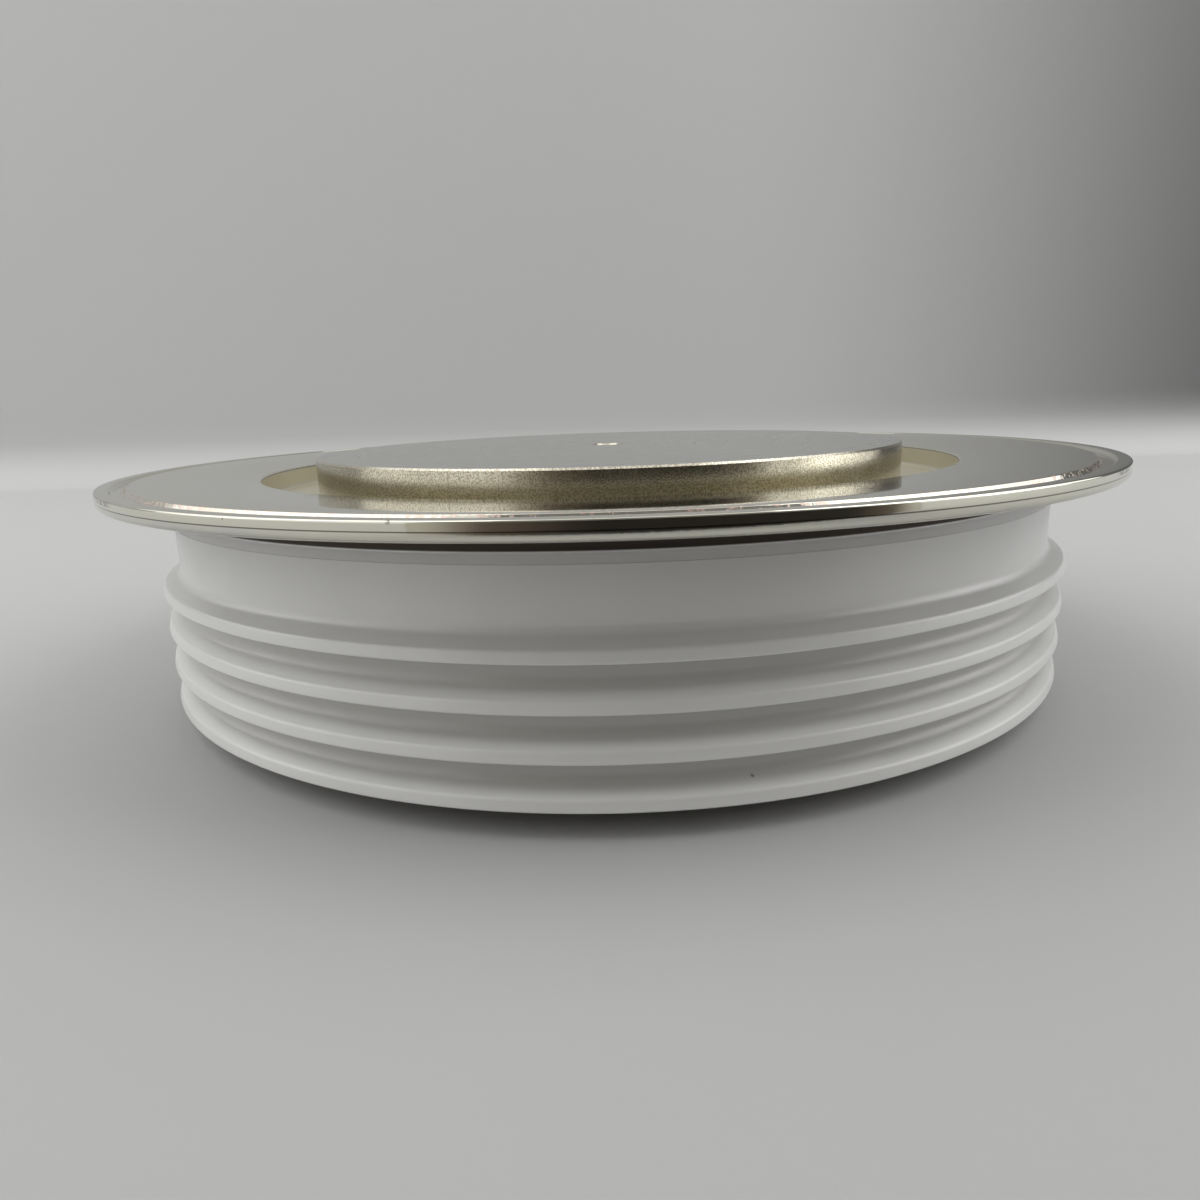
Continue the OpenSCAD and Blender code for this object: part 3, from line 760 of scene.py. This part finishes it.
def shed_profile(graph, given):
    """Radius, height and rounding of each corner of the ring's section, counted by the point's index."""

    def choose(index, *choices):
        made = graph.add("GeometryNodeIndexSwitch", data_type="FLOAT")
        while len(made.index_switch_items) < len(choices):
            made.index_switch_items.new()
        graph.feed(made.inputs[0], index)
        for number, choice in enumerate(choices):
            graph.feed(made.inputs[number + 1], choice)
        return made.outputs[0]

    index = graph.add("GeometryNodeInputIndex").outputs[0]
    last = graph.plus(graph.times(given["Sheds"], 4.0), 3.0)
    at_end = graph.math("COMPARE", index, last, 0.5)
    part = graph.plus(graph.math("MINIMUM", index, 3.0), at_end)
    number = graph.minus(index, 3.0)
    shed = graph.math("FLOOR", graph.math("DIVIDE", number, 4.0))
    corner = graph.math("FLOORED_MODULO", number, 4.0)
    shed_z = graph.plus(given["Foot"], given["Shed base"])
    shed_z = graph.plus(shed_z, graph.times(shed, given["Shed pitch"]))
    shed_radius = graph.plus(given["Band radius"], given["Shed reach"])
    rim_radius = graph.minus(shed_radius, given["Rim lean"])
    hollow_z = graph.plus(given["Rim height"], given["Rise"])
    edge = given["Edge rounding"]
    band = given["Band radius"]
    shed_r = choose(corner, band, shed_radius, rim_radius, band)
    lift = choose(corner, given["Undercut"], 0.0, given["Rim height"], hollow_z)
    shed_f = choose(corner, edge, edge, given["Rim rounding"], given["Hollow radius"])
    radius = choose(part, given["Bore radius"], given["Bore radius"], band, shed_r, band)
    shed_h = graph.plus(shed_z, lift)
    height = choose(part, given["Top"], given["Foot"], given["Foot"], shed_h, given["Top"])
    rounding = choose(part, edge, edge, edge, shed_f, given["Joint rounding"])
    return radius, height, rounding, graph.plus(last, 1.0)


def shedded_ring_tree(lengths):
    """Geometry nodes for a shedded ring with a seated cross hole for the gate tube, with these lengths."""
    tree = bpy.data.node_groups.new("Shedded ring", "GeometryNodeTree")
    for name in lengths:
        socket = tree.interface.new_socket(name, in_out="INPUT", socket_type="NodeSocketFloat")
        socket.subtype = "DISTANCE"
    for name in ("Sheds", "Segments"):
        tree.interface.new_socket(name, in_out="INPUT", socket_type="NodeSocketInt")
    tree.interface.new_socket("Material", in_out="INPUT", socket_type="NodeSocketMaterial")
    tree.interface.new_socket("Geometry", in_out="OUTPUT", socket_type="NodeSocketGeometry")
    graph = Graph(tree)
    given = graph.add("NodeGroupInput").outputs
    out = graph.add("NodeGroupOutput").inputs
    radius, height, rounding, count = shed_profile(graph, given)
    offset = graph.minus(radius, given["Band radius"])
    downwards = graph.times(height, -1.0)
    corner = graph.add("ShaderNodeCombineXYZ", {"X": offset, "Y": downwards}).outputs[0]
    points = graph.add("GeometryNodePoints", {"Count": count, "Position": corner}).outputs[0]
    section = graph.add("GeometryNodePointsToCurves", {0: points}).outputs[0]
    section = graph.add("GeometryNodeSetSplineCyclic", {"Geometry": section, "Cyclic": True}).outputs[0]
    inputs = {"Curve": section, "Radius": rounding, "Count": ARC_STEPS, "Limit Radius": True}
    section = graph.add("GeometryNodeFilletCurve", inputs, mode="POLY").outputs[0]
    inputs = {"Resolution": given["Segments"], "Radius": given["Band radius"]}
    path = graph.add("GeometryNodeCurvePrimitiveCircle", inputs).outputs[0]
    path = graph.add("GeometryNodeSetCurveNormal", {"Curve": path}, mode="Z_UP").outputs[0]
    ring = graph.add("GeometryNodeCurveToMesh", {"Curve": path, "Profile Curve": section}).outputs[0]
    hole_y = graph.minus(given["Bore radius"], MM)
    hole = cross_hole(graph, given["Tube hole radius"], hole_y, given)
    seat_y = graph.minus(given["Band radius"], given["Seat depth"])
    seat = cross_hole(graph, given["Seat radius"], seat_y, given)
    cut = graph.add("GeometryNodeMeshBoolean", {"Mesh 1": ring}, operation="DIFFERENCE", solver="EXACT")
    graph.feed(cut.inputs["Mesh 2"], hole)
    graph.feed(cut.inputs["Mesh 2"], seat)
    whole = graph.add("GeometryNodeRealizeInstances", {0: cut.outputs[0]}).outputs[0]
    inputs = {"Geometry": whole, "Material": given["Material"]}
    graph.feed(out["Geometry"], graph.add("GeometryNodeSetMaterial", inputs).outputs[0])
    return tree


def cross_hole(graph, radius, start, given):
    """A cutter along +Y at the gate tube's height, from a distance off the axis to past the sheds."""
    outer = graph.plus(graph.plus(given["Band radius"], given["Shed reach"]), MM)
    overlap = graph.minus(outer, start)
    middle = graph.times(graph.plus(outer, start), 0.5)
    inputs = {"Vertices": HOLE_SEGMENTS, "Radius": radius, "Depth": overlap}
    cylinder = graph.add("GeometryNodeMeshCylinder", inputs)
    at = graph.add("ShaderNodeCombineXYZ", {"Y": middle, "Z": given["Tube height"]}).outputs[0]
    inputs = {"Geometry": cylinder.outputs[0], "Translation": at, "Rotation": (math.pi / 2, 0.0, 0.0)}
    return graph.add("GeometryNodeTransform", inputs).outputs[0]


def run_tree(name, tree, values):
    """Run geometry nodes with these input values and keep the result as a plain mesh piece."""
    holder = place(bpy.data.objects.new(name, bpy.data.meshes.new(name)))
    modifier = holder.modifiers.new(tree.name, "NODES")
    modifier.node_group = tree
    for item in tree.interface.items_tree:
        if item.in_out == "INPUT":
            modifier[item.identifier] = values[item.name]
    graph = bpy.context.evaluated_depsgraph_get()
    mesh = bpy.data.meshes.new_from_object(holder.evaluated_get(graph), depsgraph=graph)
    holder.modifiers.remove(modifier)
    mesh.name = name
    holder.data = mesh
    return holder


# Operators

class CAPSULE_OT_ceramic(bpy.types.Operator):
    """Make the shedded ceramic ring"""

    bl_idname = "capsule.ceramic"
    bl_label = "Ceramic ring"

    def execute(self, context):
        size = sizes()
        tube_low, tube_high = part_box("gate_tube")
        lengths = {
            "Bore radius": size.band_radius - size.ceramic_wall,
            "Band radius": size.band_radius,
            "Foot": size.ceramic_foot,
            "Top": size.ceramic_top,
            "Shed base": size.shed_base,
            "Shed pitch": size.shed_pitch,
            "Shed reach": size.shed_reach,
            "Rim height": size.shed_rim,
            "Rim lean": size.shed_lean,
            "Rise": size.shed_rise,
            "Undercut": size.shed_undercut,
            "Rim rounding": size.shed_rounding,
            "Hollow radius": size.shed_hollow,
            "Edge rounding": size.ceramic_edge,
            "Joint rounding": size.joint_edge,
            "Tube hole radius": size.tube_radius + size.braze_gap,
            "Tube height": (tube_low.z + tube_high.z) / 2,
            "Seat radius": tube_high.x + size.braze_gap,
            "Seat depth": size.tube_seat,
        }
        others = {"Sheds": size.shed_count, "Segments": RING_SEGMENTS, "Material": glazed_alumina()}
        piece = run_tree("ceramic_body", shedded_ring_tree(lengths), lengths | others)
        if not piece.data.polygons:
            raise RuntimeError("the ceramic ring came out empty")
        bm = bmesh.new()
        bm.from_mesh(piece.data)
        bmesh.ops.recalc_face_normals(bm, faces=bm.faces)
        bm.to_mesh(piece.data)
        bm.free()
        smooth(piece.data)
        dress(piece, "ceramic_ring")
        return {"FINISHED"}


class CAPSULE_OT_lid(bpy.types.Operator):
    """Make the stamped lid and the ring that it is welded to"""

    bl_idname = "capsule.lid"
    bl_label = "Lid and weld ring"

    def execute(self, context):
        lid = turned("lid_sheet", self.lid_outline())
        lid.data.materials.append(lid_nickel())
        dress(lid, "cathode_flange")
        ring = turned("weld_sheet", self.ring_outline())
        ring.data.materials.append(ring_nickel())
        dress(ring, "weld_ring")
        return {"FINISHED"}

    def lid_outline(self):
        """Section of the lid: groove, dish and rim."""
        size = sizes()
        inner = size.pole_radius + size.braze_gap
        edge = size.pole_radius + size.groove_width
        collar = size.band_radius - size.collar_inset
        outer_bend = size.bend + size.sheet
        rim_z = size.weld_z + size.sheet
        groove_z = rim_z - size.dish_drop
        floor_z = size.lid_foot + size.sheet
        before = [
            (inner, size.lid_foot, 0.0),
            (edge + size.sheet, size.lid_foot, outer_bend),
            (edge + size.sheet, groove_z - size.sheet, size.bend),
            (collar, size.weld_z, 0.0),
            (size.flange_radius, size.weld_z, 0.0),
            (size.flange_radius, rim_z, size.rim_edge),
        ]
        dish_edge = size.flange_radius - size.weld_inset - size.weld_width / 2 - size.dish_margin
        after = [
            (dish_edge, rim_z, 0.0),
            (edge, groove_z, size.groove_edge),
            (edge, floor_z, size.bend),
            (inner, floor_z, 0.0),
        ]
        groove = self.weld_groove(rim_z, rim_z - size.weld_depth)
        return rounded(before + groove[::-1] + after)

    def weld_groove(self, face_z, floor_z):
        """Corners of the groove that the weld's dies leave in a face of the rim, outwards."""
        size = sizes()
        middle = size.flange_radius - size.weld_inset
        half = size.weld_width / 2
        edge = size.weld_depth / 3
        return [
            (middle - half, face_z, edge),
            (middle - 2 * half / 3, floor_z, edge),
            (middle + 2 * half / 3, floor_z, edge),
            (middle + half, face_z, edge),
        ]

    def ring_outline(self):
        """Section of the weld ring: foot, collar and rim."""
        size = sizes()
        collar = size.band_radius - size.collar_inset
        inner = collar - size.collar_foot
        under = size.weld_z - size.sheet
        return rounded([
            (inner, size.ceramic_top, 0.0),
            (collar + size.braze_width, size.ceramic_top, 0.0),
            (collar, size.ceramic_top + size.braze_height, size.braze_width),
            (collar, under, size.collar_bend),
            *self.weld_groove(under, under + size.weld_depth),
            (size.flange_radius, under, size.lower_edge),
            (size.flange_radius, size.weld_z, 0.0),
            (collar - size.sheet, size.weld_z, size.collar_bend + size.sheet),
            (collar - size.sheet, size.ceramic_top + size.sheet, 0.0),
            (inner, size.ceramic_top + size.sheet, 0.0),
        ])


class CAPSULE_OT_poles(bpy.types.Operator):
    """Finish the two contact poles"""

    bl_idname = "capsule.poles"
    bl_label = "Poles"

    def execute(self, context):
        face = lapped_face()
        wall = grained_wall()
        for name, node in (("upper_pole", "cathode_pole"), ("lower_pole", "anode_pole")):
            pole = smooth_copy(name, node)
            self.fine_edge(pole.data, (foot(node), top(node)))
            pole.data.materials.append(face)
            pole.data.materials.append(wall)
            for polygon in pole.data.polygons:
                polygon.material_index = 0 if abs(polygon.normal.z) > FACE_ON else 1
            dress(pole, node)
        return {"FINISHED"}

    def fine_edge(self, mesh, faces):
        """Draw the corners of the contact face's bevel closer to its edge."""
        size = sizes()
        bevel = size.pole_bevel + MERGE
        for vertex in mesh.vertices:
            radius = math.hypot(vertex.co.x, vertex.co.y)
            face_z = min(faces, key=lambda height: abs(height - vertex.co.z))
            if radius < size.pole_radius - bevel or abs(face_z - vertex.co.z) > bevel:
                continue
            if abs(face_z - vertex.co.z) < MERGE:
                vertex.co.xy *= (size.pole_radius - size.pole_edge) / radius
            else:
                vertex.co.z = face_z + math.copysign(size.pole_edge, vertex.co.z - face_z)


class CAPSULE_OT_terminals(bpy.types.Operator):
    """Finish the lower flange and the gate tube"""

    bl_idname = "capsule.terminals"
    bl_label = "Lower flange and gate tube"

    def execute(self, context):
        plating = sheet_nickel()
        for name, node in (("lower_sheet", "anode_flange"), ("gate_terminal", "gate_tube")):
            piece = smooth_copy(name, node)
            piece.data.materials.append(plating)
            dress(piece, node)
        return {"FINISHED"}


class CAPSULE_OT_inside(bpy.types.Operator):
    """Finish the wafer stack and the gate contact inside the capsule"""

    bl_idname = "capsule.inside"
    bl_label = "Inner pieces"

    def execute(self, context):
        paint = finish()
        molybdenum = worked_metal("Ground molybdenum", paint.molybdenum, 0.3, 3000.0)
        silver = worked_metal("Silver foil", paint.silver, 0.22, 1200.0)
        gold = worked_metal("Gold plate", paint.gold, 0.16, 6000.0)
        plastic = moulded("White plastic", paint.plastic, 0.45, 120.0)
        looks = {
            "silicon_wafer": worked_metal("Polished silicon", paint.silicon, 0.1, 800.0),
            "edge_rubber": moulded("Cast rubber", paint.rubber, 0.6, 90.0),
            "anode_molybdenum_disc": molybdenum,
            "cathode_molybdenum_disc": molybdenum,
            "anode_silver_shim": silver,
            "cathode_silver_shim": silver,
            "locating_ring": plastic,
            "gate_cup": plastic,
            "gate_guide": plastic,
            "lead_sleeve": plastic,
            "gate_pin": gold,
            "gate_lead": gold,
            "gate_spring": worked_metal("Spring steel", paint.steel, 0.25, 5000.0),
        }
        for node, material in looks.items():
            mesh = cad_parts[node].data
            mesh.materials.clear()
            mesh.materials.append(material)
        return {"FINISHED"}


class CAPSULE_OT_stage(bpy.types.Operator):
    """Set the floor, backdrop, light and camera"""

    bl_idname = "capsule.stage"
    bl_label = "Stage"

    def execute(self, context):
        context.scene.view_settings.view_transform = "Standard"
        self.backdrop()
        self.dome(context.scene)
        self.card()
        self.lamp("left_lamp", LEFT_LAMP_PLACE, stage().left_power)
        self.lamp("right_lamp", RIGHT_LAMP_PLACE, stage().right_power)
        self.camera(context.scene)
        return {"FINISHED"}

    def backdrop(self):
        """Floor that sweeps up into a wall behind the capsule."""
        wall_y = stage().wall_distance
        cove_y = wall_y - COVE_RADIUS
        outline = [(BACKDROP_FRONT, 0.0), (0.0, 0.0)]
        for step in range(COVE_STEPS + 1):
            angle = math.pi / 2 * step / COVE_STEPS
            rise = COVE_RADIUS * (1 - math.cos(angle))
            outline.append((cove_y + COVE_RADIUS * math.sin(angle), rise))
        outline.append((wall_y, BACKDROP_TOP))
        bm = bmesh.new()
        left = [bm.verts.new((-BACKDROP_HALF_WIDTH, y, z)) for y, z in outline]
        right = [bm.verts.new((BACKDROP_HALF_WIDTH, y, z)) for y, z in outline]
        for step in range(len(outline) - 1):
            bm.faces.new((left[step], right[step], right[step + 1], left[step + 1]))
        sweep = piece_from(bm, "backdrop")
        sweep.data.materials.append(self.paper())

    def card(self):
        """Dark card behind the camera, seen only in reflections."""
        values = stage()
        bm = bmesh.new()
        corners = ((CARD_LEFT, 0.0), (CARD_RIGHT, 0.0), (CARD_RIGHT, CARD_TOP), (CARD_LEFT, CARD_TOP))
        bm.faces.new([bm.verts.new((x, CARD_Y, z)) for x, z in corners])
        card = piece_from(bm, "dark_card")
        material, graph, socket = surface("Dark card", roughness=0.8)
        apart = graph.add("ShaderNodeSeparateXYZ", {0: graph.position()}).outputs
        off_middle = graph.math("ABSOLUTE", graph.minus(apart["X"], CARD_MIDDLE))
        at_side = graph.between(off_middle, *CARD_SIDE_BLEND)
        at_end = graph.between(off_middle, *CARD_END_BLEND)
        at_top = graph.between(apart["Z"], *CARD_TOP_BLEND)
        tone = graph.blend(at_side, values.card_colour, values.card_edge_colour)
        tone = graph.blend(at_end, tone, values.card_end_colour)
        tone = graph.blend(at_top, tone, values.card_top_colour)
        graph.feed(socket["Base Color"], tone)
        card.data.materials.append(material)
        card.visible_camera = False

    def paper(self):
        """Pale backdrop paper, darker up the wall and towards its right side."""
        values = stage()
        material, graph, socket = surface("Backdrop paper", roughness=0.9)
        apart = graph.add("ShaderNodeSeparateXYZ", {0: graph.position()}).outputs
        up_wall = graph.between(apart["Z"], *WALL_BLEND)
        to_right = graph.between(apart["X"], *WALL_SHADE_BLEND)
        wall = graph.blend(to_right, values.wall_colour, values.wall_shade)
        graph.feed(socket["Base Color"], graph.blend(up_wall, values.floor_colour, wall))
        return material

    def dome(self, scene):
        """Soft light all round."""
        world = bpy.data.worlds.new("Soft dome")
        world.use_nodes = True
        world.node_tree.nodes.clear()
        graph = Graph(world.node_tree)
        dome = graph.add("ShaderNodeBackground", {"Color": stage().dome_colour, "Strength": 1.0})
        output = graph.add("ShaderNodeOutputWorld")
        graph.feed(output.inputs["Surface"], dome.outputs[0])
        scene.world = world

    def lamp(self, name, position, power):
        """A soft square lamp that faces the capsule."""
        light = bpy.data.lights.new(name, "AREA")
        light.energy = power
        light.size = LAMP_SIZE
        lamp = place(bpy.data.objects.new(name, light))
        aim = Vector((0.0, 0.0, sizes().height / 2)) - Vector(position)
        lamp.matrix_world = Matrix.Translation(position) @ aim.to_track_quat("-Z", "Y").to_matrix().to_4x4()

    def camera(self, scene):
        """Camera at the photograph's viewing angle."""
        values = stage()
        data = bpy.data.cameras.new("camera")
        data.lens = values.lens
        data.clip_start = MM
        camera = place(bpy.data.objects.new("camera", data))
        flat = math.cos(values.pitch)
        forward = Vector((math.sin(values.yaw) * flat, math.cos(values.yaw) * flat, -math.sin(values.pitch)))
        level = Vector((math.cos(values.yaw), -math.sin(values.yaw), 0.0))
        upright = level.cross(forward)
        right = math.cos(values.roll) * level + math.sin(values.roll) * upright
        up = math.cos(values.roll) * upright - math.sin(values.roll) * level
        turn = Matrix((right, up, -forward)).transposed().to_4x4()
        camera.matrix_world = Matrix.Translation((0.0, -values.distance, values.camera_z)) @ turn
        scene.camera = camera


class CAPSULE_PT_panel(bpy.types.Panel):
    """Steps and values of the capsule"""

    bl_label = "Disc Thyristor"
    bl_space_type = "VIEW_3D"
    bl_region_type = "UI"
    bl_category = "Capsule"

    def draw(self, context):
        layout = self.layout
        for step in STEPS:
            layout.operator(step.bl_idname)
        for group in (sizes(), finish(), stage()):
            box = layout.box()
            for name in group.bl_rna.properties.keys():
                if name not in ("rna_type", "name"):
                    box.prop(group, name)


STEPS = (
    CAPSULE_OT_stage,
    CAPSULE_OT_ceramic,
    CAPSULE_OT_lid,
    CAPSULE_OT_poles,
    CAPSULE_OT_terminals,
    CAPSULE_OT_inside,
)
CLASSES = (CapsuleSizes, CapsuleFinish, CapsuleStage, *STEPS, CAPSULE_PT_panel)


def register():
    """Make the classes and the scene's values known to Blender."""
    for cls in CLASSES:
        bpy.utils.register_class(cls)
    bpy.types.Scene.capsule_sizes = bpy.props.PointerProperty(type=CapsuleSizes)
    bpy.types.Scene.capsule_finish = bpy.props.PointerProperty(type=CapsuleFinish)
    bpy.types.Scene.capsule_stage = bpy.props.PointerProperty(type=CapsuleStage)


def unregister():
    """Take the classes and the scene's values out of Blender."""
    del bpy.types.Scene.capsule_stage
    del bpy.types.Scene.capsule_finish
    del bpy.types.Scene.capsule_sizes
    for cls in reversed(CLASSES):
        bpy.utils.unregister_class(cls)


def main():
    """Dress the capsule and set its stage."""
    register()
    bpy.ops.capsule.stage()
    bpy.ops.capsule.ceramic()
    bpy.ops.capsule.lid()
    bpy.ops.capsule.poles()
    bpy.ops.capsule.terminals()
    bpy.ops.capsule.inside()


if __name__ == "__main__":
    main()
